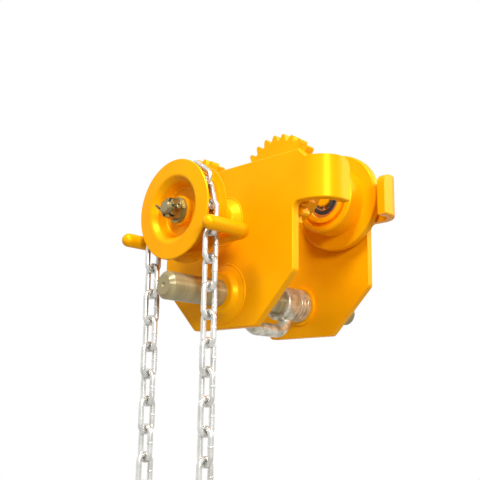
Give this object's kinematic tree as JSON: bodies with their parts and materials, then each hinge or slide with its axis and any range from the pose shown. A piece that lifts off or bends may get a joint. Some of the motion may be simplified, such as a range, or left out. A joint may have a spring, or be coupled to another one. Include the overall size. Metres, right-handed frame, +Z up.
{
  "type": "geared beam trolley",
  "caption": "Hand-chain geared trolley: side plates with flanged wheels run on a beam's lower flange, and a shackle on a cross bar carries a hoist.",
  "frame": {"origin": "midway between the side plates and between the axles, on the surface of the beam flange that the wheels run on", "axes": "+X along the beam, +Y from the hand wheel towards the rear plate, +Z up"},
  "size_m": [0.254, 0.2785, 0.3777],
  "materials": {
    "yellow_paint": "glossy yellow paint",
    "bare_steel": "bright drawn steel, lightly oiled",
    "zinc": "bright zinc plating",
    "dark_steel": "dark oiled steel",
    "bearing_steel": "ground bearing steel",
    "bronze": "plain bronze"
  },
  "bodies": {
    "frame": {"front_side_plate": "yellow_paint", "rear_side_plate": "yellow_paint", "front_bar_bosses": "yellow_paint", "rear_bar_bosses": "yellow_paint", "load_bar": "bare_steel", "bar_lock_screws": "dark_steel", "front_spacer_washers": "bare_steel", "rear_spacer_washers": "bare_steel", "shaft_housing": "yellow_paint", "shaft_bushes": "bronze", "chain_guide": "yellow_paint", "chain_over_wheel": "zinc", "chain_left_run": "zinc", "chain_right_run": "zinc", "chain_bottom_bend": "zinc", "front_left_axle": "yellow_paint", "front_left_bearing_inner_ring": "bearing_steel", "front_left_retaining_ring": "dark_steel", "front_right_axle": "yellow_paint", "front_right_bearing_inner_ring": "bearing_steel", "front_right_retaining_ring": "dark_steel", "rear_left_axle": "yellow_paint", "rear_left_bearing_inner_ring": "bearing_steel", "rear_left_retaining_ring": "dark_steel", "rear_right_axle": "yellow_paint", "rear_right_bearing_inner_ring": "bearing_steel", "rear_right_retaining_ring": "dark_steel"},
    "hand_wheel": {"hand_wheel": "yellow_paint", "drive_shaft": "bare_steel", "pinion": "bare_steel", "hub_key": "dark_steel", "pinion_key": "dark_steel", "pinion_retaining_ring": "dark_steel", "hub_washer": "bare_steel", "castle_nut": "dark_steel", "split_pin": "zinc"},
    "shackle": {"shackle": "bare_steel"},
    "front_left_wheel": {"front_left_wheel": "yellow_paint", "front_left_bearing_outer_ring": "bearing_steel", "front_left_bearing_balls": "bearing_steel"},
    "front_right_wheel": {"front_right_wheel": "yellow_paint", "front_right_bearing_outer_ring": "bearing_steel", "front_right_bearing_balls": "bearing_steel"},
    "rear_left_wheel": {"rear_left_wheel": "yellow_paint", "rear_left_bearing_outer_ring": "bearing_steel", "rear_left_bearing_balls": "bearing_steel"},
    "rear_right_wheel": {"rear_right_wheel": "yellow_paint", "rear_right_bearing_outer_ring": "bearing_steel", "rear_right_bearing_balls": "bearing_steel"}
  },
  "joints": [
    {"name": "hand_wheel_spin", "type": "hinge", "parent": "frame", "child": "hand_wheel", "pos_m": [0, -0.1175, 0.0053], "axis": [0, 1, 0], "continuous": true, "deforming": ["chain_over_wheel"]},
    {"name": "front_left_wheel_spin", "type": "hinge", "parent": "frame", "child": "front_left_wheel", "pos_m": [-0.05701, -0.031, 0.036], "axis": [0, 1, 0], "continuous": true},
    {"name": "front_right_wheel_spin", "type": "hinge", "parent": "frame", "child": "front_right_wheel", "pos_m": [0.05701, -0.031, 0.036], "axis": [0, 1, 0], "continuous": true},
    {"name": "rear_left_wheel_spin", "type": "hinge", "parent": "frame", "child": "rear_left_wheel", "pos_m": [-0.05701, 0.031, 0.036], "axis": [0, 1, 0], "continuous": true},
    {"name": "rear_right_wheel_spin", "type": "hinge", "parent": "frame", "child": "rear_right_wheel", "pos_m": [0.05701, 0.031, 0.036], "axis": [0, 1, 0], "continuous": true},
    {"name": "shackle_swing", "type": "hinge", "parent": "frame", "child": "shackle", "pos_m": [0, 0, -0.0665], "axis": [0, 1, 0], "continuous": true}
  ],
  "couplings": [
    {"joint": "front_left_wheel_spin", "follows": "hand_wheel_spin", "ratio": -0.42308},
    {"joint": "front_right_wheel_spin", "follows": "hand_wheel_spin", "ratio": -0.42308}
  ]
}
